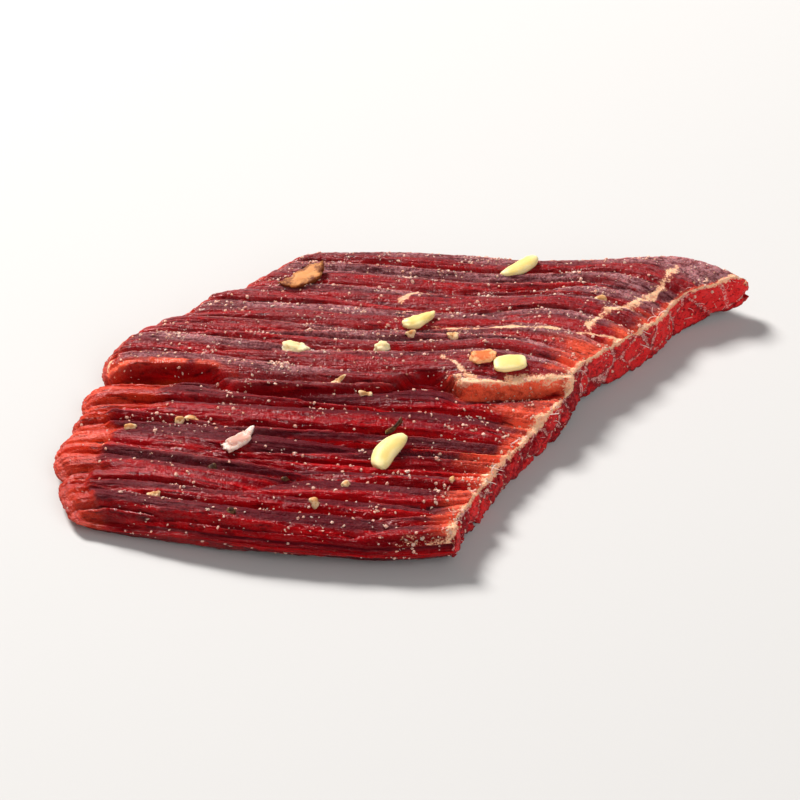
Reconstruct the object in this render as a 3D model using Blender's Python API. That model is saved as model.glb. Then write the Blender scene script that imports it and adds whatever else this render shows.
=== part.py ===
"""Beef jerky strip: one slice of dried beef, cut across its grain, with seeds and spice stuck on top.

The slice lies on a table. +X runs along the grain, from the torn left end to the knife cut, and +Y runs
away from the front edge. The places named here are moved at the end, all together, so that the origin is on
the table, at the middle of the slice's box. Sizes are in metres.
"""

import math

import bpy
from mathutils import Euler, Matrix, Vector, noise

# The slice's outline, seen from above. Each pair is a share of the way along the edge, and a place.
TORN_END = ((0.0, -0.0238), (0.16, -0.0262), (0.41, -0.0256), (0.5, -0.0248), (0.57, -0.0240),
            (0.74, -0.0199), (0.87, -0.0149), (1.0, -0.0105))
CUT_END = ((0.0, 0.0069), (0.07, 0.0071), (0.29, 0.0100), (0.5, 0.0140), (0.6, 0.0150),
           (0.67, 0.0170), (0.82, 0.0212), (0.91, 0.0230), (1.0, 0.0284))
FRONT_EDGE = ((0.0, -0.0176), (0.4, -0.0196), (0.7, -0.0199), (0.88, -0.0195), (1.0, -0.0185))
BACK_EDGE = ((0.0, 0.0216), (0.3, 0.0219), (0.55, 0.0221), (0.84, 0.0233), (1.0, 0.0212))

# Lobes of fibre at the torn end: where each starts, and how far it reaches past the line above.
TORN_LOBES = ((0.0, 0.0010), (0.14, 0.0014), (0.29, 0.0010), (0.36, 0.0013), (0.48, 0.0018),
              (0.70, 0.0006), (0.84, 0.0009), (1.0, 0.0))
LOBE_CLEFT = 0.0009
CLEFT_LENGTH = 0.26

# Thickness. Two layers of muscle meet along a seam, where the back one stands higher over a cleft.
SLICE_THICKNESS = 0.0036
LAYER_SEAM = ((0.0, 0.48), (0.22, 0.48), (0.32, 0.45), (0.60, 0.465), (0.69, 0.51), (0.745, 0.50),
              (0.80, 0.467), (0.86, 0.481), (0.92, 0.50), (1.0, 0.54))
LAYER_RISE = ((0.0, 0.0010), (0.22, 0.0007), (0.5, 0.0003), (0.7, 0.0006), (0.8, 0.0011), (0.93, 0.0010),
              (1.0, 0.0005))
SEAM_CLEFT = ((0.0, 0.0005), (0.22, 0.0004), (0.5, 0.0003), (0.7, 0.0006), (0.8, 0.0009), (0.93, 0.0008),
              (1.0, 0.0003))
SEAM_WIDTH = 0.0006
CLEFT_WIDTH = 0.0022
FRONT_ROUNDING = 0.0012
BACK_ROUNDING = 0.0021
TORN_ROUNDING = 0.0034
THINNEST_SHARE = 0.40
EDGE_LIFT_SHARE = 0.4
SIDE_BULGE = 0.0005

# The slice has dried into a low arch along the grain, and its cut end waves.
ARCH_HEIGHT = 0.0010
FRONT_ARCH_SHARE = 0.3
CUT_WAVE = 0.0004
CUT_WAVES = 1.6
WAVE_START = 0.3
CORNER_CURL = 0.0009
CURL_FROM = (0.75, 0.8)
FLAT_PRESS = 0.0004

# Bundles of muscle fibre: their usual length, width and height, and how deep the grooves between them are.
BUNDLE_LENGTH = 0.036
BUNDLE_WIDTH = 0.0023
BUNDLE_HEIGHT = 0.0030
FRONT_GROOVES = 0.00105
BACK_GROOVES = 0.00070
GROOVE_CHANGE = (0.4, 0.6)
GROOVE_REACH = 0.42
GROOVE_SKEW = 0.35
UNDERSIDE_SHARE = 0.5
CUT_RELIEF = 0.0004
PATTERN_START = Vector((5.3, 8.1, 2.6))

# The block that is shaped into the slice, and the cells on its faces.
BLOCK_LENGTH = 0.0375
BLOCK_WIDTH = 0.0405
GRAIN_CELLS = 22
ACROSS_CELLS = 100
DEPTH_CELLS = 3
END_CROWDING = 0.5

# Seeds and flakes: where each lies, which way it points, how it tips, and its length, width and thickness.
TOPPINGS = {
    "seed_front": ((0.0, -0.0082), 62, 14, (0.0041, 0.0021, 0.0013)),
    "seed_back": ((0.0083, 0.0190), 41, 8, (0.0038, 0.0016, 0.0011)),
    "seed_ledge": ((0.0091, 0.0032), 10, 5, (0.0028, 0.0022, 0.0010)),
    "seed_middle": ((0.0005, 0.0092), 32, 6, (0.0030, 0.0015, 0.0010)),
    "crumb_left": ((-0.0098, 0.0044), -4, 4, (0.0023, 0.0016, 0.0009)),
    "crumb_small": ((-0.0022, 0.0050), 30, 0, (0.0013, 0.0011, 0.0009)),
    "husk_corner": ((-0.0104, 0.0150), 35, 10, (0.0042, 0.0022, 0.0011)),
    "flake_orange": ((0.0068, 0.0036), 55, 0, (0.0021, 0.0018, 0.0008)),
    "flake_pale": ((-0.0126, -0.0083), 50, 4, (0.0032, 0.0016, 0.0008)),
}
SEED_SUNK = 0.00035
SEED_TAPER = 0.3
SEED_SIDES = 8
SEED_RINGS = 5

MEAT_COLOUR = (0.19, 0.018, 0.020, 1.0)
MEAT_ROUGHNESS = 0.45


def clear_scene():
    for old in list(bpy.data.objects):
        bpy.data.objects.remove(old)


def curve_through(points, share):
    """Value at a share of the smooth curve that runs through pairs of share and value."""
    places = [place for place, _ in points]
    values = [value for _, value in points]
    last = len(points) - 1
    step = max(i for i in range(last) if share >= places[i] or i == 0)

    def slope(i):
        before, after = max(i - 1, 0), min(i + 1, last)
        return (values[after] - values[before]) / (places[after] - places[before])

    span = places[step + 1] - places[step]
    t = (share - places[step]) / span
    rise = values[step + 1] - values[step]
    bend_in = slope(step) * span - rise
    bend_out = rise - slope(step + 1) * span
    return values[step] + rise * t + t * (1 - t) * ((1 - t) * bend_in + t * bend_out)


def smooth_step(low, high, value):
    t = min(max((value - low) / (high - low), 0.0), 1.0)
    return t * t * (3 - 2 * t)


def round_off(distance, reach):
    """1 well inside the slice, falling along a quarter circle to THINNEST_SHARE at its edge."""
    inside = min(max(distance / reach, 0.0), 1.0)
    return THINNEST_SHARE + (1 - THINNEST_SHARE) * math.sqrt(1 - (1 - inside) ** 2)


def bundle_crown(grain, across, depth):
    """Height of a fibre bundle's rounded surface, from 0 in the groove to 1, steeper on its front side."""
    point = Vector((grain * BLOCK_LENGTH / BUNDLE_LENGTH,
                    across * BLOCK_WIDTH / BUNDLE_WIDTH,
                    depth * SLICE_THICKNESS / BUNDLE_HEIGHT)) + PATTERN_START
    _, centres = noise.voronoi(point)
    nearest, second = centres[0], centres[1]
    towards = (second - nearest).normalized()
    to_groove = ((nearest + second) / 2 - point).dot(towards)
    inside = min(max(to_groove / (GROOVE_REACH * (1 + GROOVE_SKEW * towards.y)), 0.0), 1.0)
    return math.sqrt(1 - (1 - inside) ** 2)


def torn_lobe(across):
    """How full the lobe of the torn end is here, from 0 in the notch beside it to 1, and its reach."""
    for (start, reach), (end, _) in zip(TORN_LOBES, TORN_LOBES[1:]):
        if across <= end:
            t = (across - start) / (end - start)
            return math.sqrt(4 * t * (1 - t)), reach


def seam_step(grain, across):
    """Height that the raised back layer and the cleft in front of it add to the top face."""
    past_seam = (across - curve_through(LAYER_SEAM, grain)) * BLOCK_WIDTH
    raised = smooth_step(-SEAM_WIDTH / 2, SEAM_WIDTH / 2, past_seam)
    into_cleft = smooth_step(-CLEFT_WIDTH, 0.0, past_seam) * (1 - raised)
    return curve_through(LAYER_RISE, grain) * raised - curve_through(SEAM_CLEFT, grain) * into_cleft


def slice_point(grain, across, depth):
    """Where a point of the block goes. Each argument is a share: along the grain, across it, and up."""
    bulge = SIDE_BULGE * math.sin(math.pi * depth)
    lobe, reach = torn_lobe(across)
    torn = curve_through(TORN_END, across) - bulge - reach * lobe
    cut = curve_through(CUT_END, across) + CUT_RELIEF * (bundle_crown(1.0, across, depth) - 0.5)
    x = torn + grain * (cut - torn)
    front = curve_through(FRONT_EDGE, grain) - bulge
    back = curve_through(BACK_EDGE, grain) + bulge
    y = front + across * (back - front)

    rounding = (round_off(across * BLOCK_WIDTH, FRONT_ROUNDING)
                * round_off((1 - across) * BLOCK_WIDTH, BACK_ROUNDING)
                * round_off(grain * BLOCK_LENGTH, TORN_ROUNDING))
    groove_depth = FRONT_GROOVES + (BACK_GROOVES - FRONT_GROOVES) * smooth_step(*GROOVE_CHANGE, across)
    groove = groove_depth * (1 - bundle_crown(grain, across, 1.0))
    groove += LOBE_CLEFT * (1 - lobe) * (1 - smooth_step(0.0, CLEFT_LENGTH, grain))
    under_groove = UNDERSIDE_SHARE * groove_depth * (1 - bundle_crown(grain, across, 0.0))

    arched = FRONT_ARCH_SHARE + (1 - FRONT_ARCH_SHARE) * smooth_step(0.0, 0.6, across)
    arch = ARCH_HEIGHT * arched * math.sin(math.pi * grain)
    wave = CUT_WAVE * (1 + math.sin(2 * math.pi * (CUT_WAVES * across + WAVE_START))) * grain
    curl = CORNER_CURL * smooth_step(CURL_FROM[0], 1.0, grain) * smooth_step(CURL_FROM[1], 1.0, across)
    low = arch + wave + curl - FLAT_PRESS + EDGE_LIFT_SHARE * SLICE_THICKNESS * (1 - rounding)
    high = low + (SLICE_THICKNESS + seam_step(grain, across) - groove) * rounding
    low = max(low + under_groove, 0.0)
    return Vector((x, y, low + depth * (high - low)))


def block_faces(grain_cells, across_cells, depth_cells):
    """The grid points on a block's six faces, as counts along each side, and the faces between them."""
    cells = (grain_cells, across_cells, depth_cells)
    numbers = {}
    faces = []
    for normal in range(3):
        first, second = (normal + 1) % 3, (normal + 2) % 3
        for level in (0, cells[normal]):
            for i in range(cells[first]):
                for j in range(cells[second]):
                    corners = []
                    for di, dj in ((0, 0), (1, 0), (1, 1), (0, 1)):
                        corner = [0, 0, 0]
                        corner[normal], corner[first], corner[second] = level, i + di, j + dj
                        corners.append(numbers.setdefault(tuple(corner), len(numbers)))
                    faces.append(corners if level else corners[::-1])
    return list(numbers), faces


def crowded(share):
    """Grid shares along the grain, closer together at both ends, where the slice curves most."""
    return share - END_CROWDING * math.sin(2 * math.pi * share) / (2 * math.pi)


def meat_material():
    material = bpy.data.materials.new("dried_beef")
    material.use_nodes = True
    shader = material.node_tree.nodes["Principled BSDF"]
    shader.inputs["Base Color"].default_value = MEAT_COLOUR
    shader.inputs["Roughness"].default_value = MEAT_ROUGHNESS
    shader.inputs["Metallic"].default_value = 0.0
    return material


def make_object(name, points, faces):
    mesh = bpy.data.meshes.new(name)
    mesh.from_pydata(points, [], faces)
    mesh.update()
    made = bpy.data.objects.new(name, mesh)
    bpy.context.scene.collection.objects.link(made)
    return made


def make_slice():
    counts, faces = block_faces(GRAIN_CELLS, ACROSS_CELLS, DEPTH_CELLS)
    points = [slice_point(crowded(i / GRAIN_CELLS), j / ACROSS_CELLS, k / DEPTH_CELLS) for i, j, k in counts]
    meat = make_object("jerky_strip", points, faces)
    meat.data.materials.append(meat_material())
    return meat


def seed_mesh(size):
    """Points and faces of one seed: an egg shape that narrows towards +X."""
    length, width, thickness = size
    points = [Vector((-length / 2, 0, 0))]
    for ring in range(1, SEED_RINGS):
        turn = math.pi * ring / SEED_RINGS
        along = -math.cos(turn)
        girth = math.sin(turn) * (1 - SEED_TAPER * along) / 2
        for side in range(SEED_SIDES):
            angle = 2 * math.pi * side / SEED_SIDES
            points.append(Vector((along * length / 2, girth * width * math.cos(angle),
                                  girth * thickness * math.sin(angle))))
    points.append(Vector((length / 2, 0, 0)))
    tip = len(points) - 1
    faces = []
    for side in range(SEED_SIDES):
        beside = (side + 1) % SEED_SIDES
        faces.append((0, 1 + beside, 1 + side))
        for ring in range(SEED_RINGS - 2):
            near, far = 1 + ring * SEED_SIDES, 1 + (ring + 1) * SEED_SIDES
            faces.append((near + side, near + beside, far + beside, far + side))
        last = tip - SEED_SIDES
        faces.append((last + side, last + beside, tip))
    return points, faces


def surface_below(meat, x, y):
    """The height of the slice's top face at a place seen from above."""
    hit, place, _, _ = meat.ray_cast(Vector((x, y, 1.0)), Vector((0, 0, -1)))
    if not hit:
        raise ValueError("a seed lies beside the slice")
    return place.z


def make_toppings(meat):
    group = bpy.data.collections.new("toppings")
    bpy.context.scene.collection.children.link(group)
    for name, ((x, y), heading, tip, size) in TOPPINGS.items():
        points, faces = seed_mesh(size)
        seed = make_object(name, points, faces)
        bpy.context.scene.collection.objects.unlink(seed)
        group.objects.link(seed)
        height = surface_below(meat, x, y) + size[2] / 2 - SEED_SUNK
        turn = Euler((0, -math.radians(tip), math.radians(heading))).to_matrix().to_4x4()
        seed.data.transform(Matrix.Translation((x, y, height)) @ turn)
    return group


def join_toppings(meat, group):
    """Makes the slice and what is stuck to it one solid."""
    union = meat.modifiers.new("stuck_on", "BOOLEAN")
    union.operation = "UNION"
    union.operand_type = "COLLECTION"
    union.collection = group
    union.solver = "EXACT"
    depsgraph = bpy.context.evaluated_depsgraph_get()
    joined = bpy.data.meshes.new_from_object(meat.evaluated_get(depsgraph))
    meat.modifiers.clear()
    meat.data = joined
    for seed in list(group.objects):
        bpy.data.objects.remove(seed)
    bpy.data.collections.remove(group)


def centre_on_table(meat):
    """Moves the slice so that its box stands on the origin."""
    corners = [Vector(corner) for corner in meat.bound_box]
    lowest = [min(corner[axis] for corner in corners) for axis in range(3)]
    highest = [max(corner[axis] for corner in corners) for axis in range(3)]
    middle = Vector(((lowest[0] + highest[0]) / 2, (lowest[1] + highest[1]) / 2, lowest[2]))
    meat.data.transform(Matrix.Translation(-middle))


def main():
    clear_scene()
    meat = make_slice()
    bpy.context.view_layer.update()
    join_toppings(meat, make_toppings(meat))
    centre_on_table(meat)
    meat.data.shade_smooth()
    meat.data.set_sharp_from_angle(angle=math.radians(50))


main()
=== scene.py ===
"""The beef jerky strip as it looks: a slice of dried beef with seeds, spice and salt stuck on."""

import functools
import math

import bpy
from mathutils import Euler, Matrix, Vector, noise


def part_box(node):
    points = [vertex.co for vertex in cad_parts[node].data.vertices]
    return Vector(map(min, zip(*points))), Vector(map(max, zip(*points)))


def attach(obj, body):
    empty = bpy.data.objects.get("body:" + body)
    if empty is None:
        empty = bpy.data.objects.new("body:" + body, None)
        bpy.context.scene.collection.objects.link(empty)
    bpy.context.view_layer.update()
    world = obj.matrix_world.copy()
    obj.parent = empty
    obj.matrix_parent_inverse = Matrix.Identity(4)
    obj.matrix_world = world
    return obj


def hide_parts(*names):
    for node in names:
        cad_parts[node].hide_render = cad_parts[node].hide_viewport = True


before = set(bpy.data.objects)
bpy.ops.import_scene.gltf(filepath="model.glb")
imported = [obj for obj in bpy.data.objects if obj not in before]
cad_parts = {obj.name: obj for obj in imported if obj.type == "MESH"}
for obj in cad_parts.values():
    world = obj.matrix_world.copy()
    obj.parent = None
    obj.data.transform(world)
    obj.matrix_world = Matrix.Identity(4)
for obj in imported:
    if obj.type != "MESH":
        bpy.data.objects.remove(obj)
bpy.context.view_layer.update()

# The slice of dried beef
# One slab of lean muscle, salted and dried until it keeps its shape. A knife cut its right end across the
# grain. Its left end was torn, so the bundles of fibre part there in lobes, and bare red meat shows.

# Its outline from above. Each pair is a share of the way along the edge, and a place in metres.
TORN_END = ((0.0, -0.0238), (0.16, -0.0262), (0.41, -0.0256), (0.5, -0.0248), (0.57, -0.0240),
            (0.74, -0.0199), (0.87, -0.0149), (1.0, -0.0105))
CUT_END = ((0.0, 0.0069), (0.07, 0.0071), (0.29, 0.0100), (0.5, 0.0140), (0.6, 0.0150),
           (0.67, 0.0170), (0.82, 0.0212), (0.91, 0.0230), (1.0, 0.0284))
FRONT_EDGE = ((0.0, -0.0176), (0.4, -0.0196), (0.7, -0.0199), (0.88, -0.0195), (1.0, -0.0185))
BACK_EDGE = ((0.0, 0.0216), (0.3, 0.0219), (0.55, 0.0221), (0.84, 0.0233), (1.0, 0.0212))

# Lobes at the torn end: where each starts, how far it reaches out, and how far in the meat is bare.
TORN_LOBES = ((0.0, 0.0010, 0.0022), (0.14, 0.0014, 0.0038), (0.29, 0.0010, 0.0027), (0.36, 0.0013, 0.0064),
              (0.48, 0.0018, 0.0009), (0.70, 0.0006, 0.0011), (0.84, 0.0009, 0.0016), (1.0, 0.0, 0.0))
LOBE_CLEFT = 0.0009
CLEFT_LENGTH = 0.26

# Thickness, and the seam where the raised back layer of muscle stands over a cleft.
SLICE_THICKNESS = 0.0036
LAYER_SEAM = ((0.0, 0.48), (0.22, 0.48), (0.32, 0.45), (0.60, 0.465), (0.69, 0.51), (0.745, 0.50),
              (0.80, 0.467), (0.86, 0.481), (0.92, 0.50), (1.0, 0.54))
LAYER_RISE = ((0.0, 0.0010), (0.22, 0.0007), (0.5, 0.0003), (0.7, 0.0006), (0.8, 0.0011), (0.93, 0.0010),
              (1.0, 0.0005))
SEAM_CLEFT = ((0.0, 0.0005), (0.22, 0.0004), (0.5, 0.0003), (0.7, 0.0006), (0.8, 0.0009), (0.93, 0.0008),
              (1.0, 0.0003))
LEDGE = ((0.0, 0.35), (0.2, 0.2), (0.3, 0.0), (0.72, 0.0), (0.79, 1.0), (0.96, 1.0), (1.0, 0.6))
SEAM_WIDTH = 0.0006
CLEFT_WIDTH = 0.0022
LEDGE_OVERHANG = 0.0003
LEAN_OFFSET = 0.0003
LEAN_WIDTH = 0.0004
FRONT_ROUNDING = 0.0012
BACK_ROUNDING = 0.0021
TORN_ROUNDING = 0.0034
THINNEST_SHARE = 0.40
SIDE_BULGE = 0.0005
CUT_EDGE_ROUNDING = 0.00018

# The low arch that it dried into.
ARCH_HEIGHT = 0.0010
FRONT_ARCH_SHARE = 0.3
CUT_WAVE = 0.0004
CORNER_CURL = 0.0009
FLAT_PRESS = 0.0004

# Bundles of muscle fibre, and the finer fibres in them: usual length, width and height of one.
BLOCK_LENGTH = 0.0375
BLOCK_WIDTH = 0.0405
BUNDLE = (0.036, 0.0023, 0.0030)
FIBRE = (0.0130, 0.00052, 0.00060)
BUNDLE_START = Vector((5.3, 8.1, 2.6))
FIBRE_START = Vector((31.7, 12.4, 8.8))
FRONT_GROOVES = 0.00105
BACK_GROOVES = 0.00070
GROOVE_REACH = 0.42
GROOVE_SKEW = 0.35
UNDERSIDE_SHARE = 0.5
CUT_RELIEF = 0.0004
FIBRE_RELIEF = 0.00015
CRINKLE = 0.00007
CRINKLE_SIZE = 0.0006
BARE_STEP = 0.00035
RIM_CRUMBLE = 0.00016
CUT_LUMPS = 0.00016
CUT_LUMP_SIZE = 0.0011

# Pale lines of sinew on the top face, as places seen from above, and how wide each is.
SINEW_LINES = (
    (((0.0012, 0.0089), (0.0037, 0.0087), (0.0067, 0.0088), (0.0099, 0.0090), (0.0134, 0.0094),
      (0.0174, 0.0097), (0.0212, 0.0102)), 0.00016),
    (((0.0152, 0.0105), (0.0164, 0.0133), (0.0182, 0.0148), (0.0195, 0.0163), (0.0209, 0.0180),
      (0.0221, 0.0209)), 0.00034),
    (((-0.0015, 0.0128), (-0.0005, 0.0140), (0.0008, 0.0147)), 0.00030),
    (((0.0032, 0.0039), (0.0046, 0.0029), (0.0055, 0.0019), (0.0061, 0.0015)), 0.00030),
)

# Spots near the cut with a painted glow of light shining through to the fresh meat, and how far each
# reaches.
GLOW_SPOTS = (((0.0218, 0.0132), 0.0016), ((0.0200, 0.0108), 0.0017), ((0.0164, 0.0068), 0.0028),
              ((0.0147, 0.0048), 0.0018), ((0.0114, -0.0018), 0.0019), ((0.0089, -0.0077), 0.0018),
              ((0.0077, -0.0104), 0.0016), ((0.0066, -0.0164), 0.0015))

# Places along the cut where its pale rim is thickest, and how far each thick patch reaches.
RIM_PATCHES = ((0.0072, -0.0182), (0.0094, -0.0089), (0.0124, -0.0024), (0.0149, 0.0034), (0.0216, 0.0128))
RIM_PATCH_REACH = 0.0015

# The frayed corner at the front, as a line seen from above.
FRAYED_CORNER = ((0.0029, -0.0192), (0.0041, -0.0195), (0.0059, -0.0192), (0.0072, -0.0186),
                 (0.0075, -0.0168), (0.0073, -0.0149))

# Depths and widths of what shows at the slice's edges and along its seam, in metres.
FRONT_EDGE_BARE = 0.0009
CLEFT_BARE = 0.0004
STEP_FACE_WIDTH = 0.00038
TORN_LIP_WIDTH = 0.00026
LIP_WIDTH = 0.00036
FRAYED_WIDTH = 0.0009
TORN_RIM = 0.0007
BACK_RIM = 0.0003
CUT_RIMS = (0.00022, 0.00010)
CUT_CRUMBLE = 0.0006
SALTED_BY_CUT = 0.0060
FIBRES_CLEAR_OF_FLOOR = (0.0008, 0.0018)
SALT_CLEAR_OF_FLOOR = (0.0002, 0.0006)

# How many blotches, streaks, patches of dust and painted sheen, and strewn patches there are in a metre.
BLOTCHES = 900
STREAKS = Vector((160, 1500, 1500))
BREAKS_IN_SINEW = 1400
SHEEN_AND_DUST_PATCHES = 260
STREWN_PATCHES = (420, 1300)
CRUMB_PATCHES = 800

# The cells on the faces of the block that is shaped into the slice.
GRAIN_CELLS = 170
ACROSS_CELLS = 360
DEPTH_CELLS = 16
END_CROWDING = 0.5


@functools.lru_cache(maxsize=None)
def curve_through(points, share):
    """Value at a share of the smooth curve that runs through pairs of share and value."""
    places = [place for place, _ in points]
    values = [value for _, value in points]
    last = len(points) - 1
    step = max(i for i in range(last) if share >= places[i] or i == 0)

    def slope(i):
        before, after = max(i - 1, 0), min(i + 1, last)
        return (values[after] - values[before]) / (places[after] - places[before])

    span = places[step + 1] - places[step]
    t = (share - places[step]) / span
    rise = values[step + 1] - values[step]
    bend_in = slope(step) * span - rise
    bend_out = rise - slope(step + 1) * span
    return values[step] + rise * t + t * (1 - t) * ((1 - t) * bend_in + t * bend_out)


def smooth_step(low, high, value):
    t = min(max((value - low) / (high - low), 0.0), 1.0)
    return t * t * (3 - 2 * t)


def band(off, width):
    """1 in the middle of a soft-edged band, falling towards 0 beyond its width."""
    return math.exp(-(off / width) ** 2)


def round_off(distance, reach):
    """1 well inside the slice, falling along a quarter circle to THINNEST_SHARE at its edge."""
    inside = min(max(distance / reach, 0.0), 1.0)
    return THINNEST_SHARE + (1 - THINNEST_SHARE) * math.sqrt(1 - (1 - inside) ** 2)


def fibre_at(grain, across, depth, size, start):
    """The point in the pattern of fibres, in widths of one, and the middles of its fibre and the next."""
    length, width, height = size
    point = Vector((grain * BLOCK_LENGTH / length,
                    across * BLOCK_WIDTH / width,
                    depth * SLICE_THICKNESS / height)) + start
    _, centres = noise.voronoi(point)
    return point, centres[0], centres[1]


def fibre_wall(point, own, beside):
    """Distance to the wall between two fibres, in widths of one, and how far back that wall is."""
    towards = (beside - own).normalized()
    return ((own + beside) / 2 - point).dot(towards), towards.y


def crown(grain, across, depth, size, start):
    """Height of a fibre's rounded surface, from 0 in the groove to 1, steeper on its front side."""
    wall, back = fibre_wall(*fibre_at(grain, across, depth, size, start))
    inside = min(max(wall / (GROOVE_REACH * (1 + GROOVE_SKEW * back)), 0.0), 1.0)
    return math.sqrt(1 - (1 - inside) ** 2)


def torn_lobe(across):
    """How full the torn end's lobe is here, how far it reaches out, and how far in the meat is bare."""
    for (start, reach, bare), (end, _, _) in zip(TORN_LOBES, TORN_LOBES[1:]):
        if across <= end:
            t = (across - start) / (end - start)
            return math.sqrt(4 * t * (1 - t)), reach, bare


def bare_flesh(grain, bare, uneven):
    """1 where the meat's skin has torn away, by how far in it is bare, and 0 under the skin."""
    return 1 - smooth_step(0.85 * bare, 1.15 * bare, grain * BLOCK_LENGTH + uneven)


def past_seam(grain, across):
    return (across - curve_through(LAYER_SEAM, grain)) * BLOCK_WIDTH


def seam_step(grain, across):
    """Height that the raised back layer and the cleft in front of it add to the top face."""
    past = past_seam(grain, across)
    raised = smooth_step(-SEAM_WIDTH / 2, SEAM_WIDTH / 2, past)
    into_cleft = smooth_step(-CLEFT_WIDTH, 0.0, past) * (1 - raised)
    return curve_through(LAYER_RISE, grain) * raised - curve_through(SEAM_CLEFT, grain) * into_cleft


def overhang(grain, across):
    """How far the raised layer's lip leans out over the cleft, and the cleft cuts in below it."""
    past = past_seam(grain, across)
    leaning = band(past - LEAN_OFFSET, LEAN_WIDTH) - 0.8 * band(past + LEAN_OFFSET, LEAN_WIDTH)
    return LEDGE_OVERHANG * curve_through(LEDGE, grain) * leaning


def slice_place(grain, across, depth):
    """Where a point of the block goes. Each argument is a share: along the grain, across it, and up."""
    bulge = SIDE_BULGE * math.sin(math.pi * depth)
    lobe, reach, bare = torn_lobe(across)
    torn = curve_through(TORN_END, across) - bulge - reach * lobe
    cut = (curve_through(CUT_END, across)
           + CUT_RELIEF * (crown(1.0, across, depth, BUNDLE, BUNDLE_START) - 0.5)
           - CUT_EDGE_ROUNDING * (2 * depth - 1) ** 8)
    x = torn + grain * (cut - torn)
    front = curve_through(FRONT_EDGE, grain) - bulge
    back = curve_through(BACK_EDGE, grain) + bulge
    y = front + across * (back - front) - overhang(grain, across) * depth ** 3

    rounding = (round_off(across * BLOCK_WIDTH, FRONT_ROUNDING)
                * round_off((1 - across) * BLOCK_WIDTH, BACK_ROUNDING)
                * round_off(grain * BLOCK_LENGTH, TORN_ROUNDING))
    groove_depth = FRONT_GROOVES + (BACK_GROOVES - FRONT_GROOVES) * smooth_step(0.4, 0.6, across)
    groove = groove_depth * (1 - crown(grain, across, 1.0, BUNDLE, BUNDLE_START))
    groove += LOBE_CLEFT * (1 - lobe) * (1 - smooth_step(0.0, CLEFT_LENGTH, grain))
    groove += BARE_STEP * bare_flesh(grain, bare, 0.0)
    under_groove = UNDERSIDE_SHARE * groove_depth * (1 - crown(grain, across, 0.0, BUNDLE, BUNDLE_START))

    arched = FRONT_ARCH_SHARE + (1 - FRONT_ARCH_SHARE) * smooth_step(0.0, 0.6, across)
    arch = ARCH_HEIGHT * arched * math.sin(math.pi * grain)
    wave = CUT_WAVE * (1 + math.sin(2 * math.pi * (1.6 * across + 0.3))) * grain
    curl = CORNER_CURL * smooth_step(0.8, 1.0, across) * smooth_step(0.75, 1.0, grain)
    low = arch + wave + curl - FLAT_PRESS + 0.4 * SLICE_THICKNESS * (1 - rounding)
    high = low + (SLICE_THICKNESS + seam_step(grain, across) - groove) * rounding
    low = max(low + under_groove, 0.0)
    return Vector((x, y, low + depth * (high - low)))


def wide_cell(i, j, cells_i, cells_j):
    """Corners of a cell two wide each way, and the middles of its sides that meet the block's edge."""
    ring = (((i, j), True), ((i + 1, j), j == 0),
            ((i + 2, j), True), ((i + 2, j + 1), i + 2 == cells_i),
            ((i + 2, j + 2), True), ((i + 1, j + 2), j + 2 == cells_j),
            ((i, j + 2), True), ((i, j + 1), i == 0))
    return [corner for corner, kept in ring if kept]


def block_faces(grain_cells, across_cells, depth_cells):
    """The grid points on a block's six faces, as counts along each side, and the faces between them.

    The underside has cells twice as wide, because it has less to show.
    """
    cells = (grain_cells, across_cells, depth_cells)
    numbers = {}
    faces = []
    for normal in range(3):
        first, second = (normal + 1) % 3, (normal + 2) % 3
        for level in (0, cells[normal]):
            width = 2 if normal == 2 and level == 0 else 1
            for i in range(0, cells[first], width):
                for j in range(0, cells[second], width):
                    ring = ((i, j), (i + 1, j), (i + 1, j + 1), (i, j + 1))
                    if width == 2:
                        ring = wide_cell(i, j, cells[first], cells[second])
                    corners = []
                    for at_first, at_second in ring:
                        corner = [0, 0, 0]
                        corner[normal], corner[first], corner[second] = level, at_first, at_second
                        corners.append(numbers.setdefault(tuple(corner), len(numbers)))
                    faces.append(corners if level else corners[::-1])
    return list(numbers), faces


def crowded(share):
    """Grid shares along the grain, closer together at both ends, where the slice curves most."""
    return share - END_CROWDING * math.sin(2 * math.pi * share) / (2 * math.pi)


def distance_to_line(place, line):
    """Distance, seen from above, from a place to a line through points."""
    nearest = 1.0
    for start, end in zip(line, line[1:]):
        span = Vector(end) - Vector(start)
        off = place.xy - Vector(start)
        t = min(max(off.dot(span) / span.length_squared, 0.0), 1.0)
        nearest = min(nearest, (off - t * span).length)
    return nearest


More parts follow.
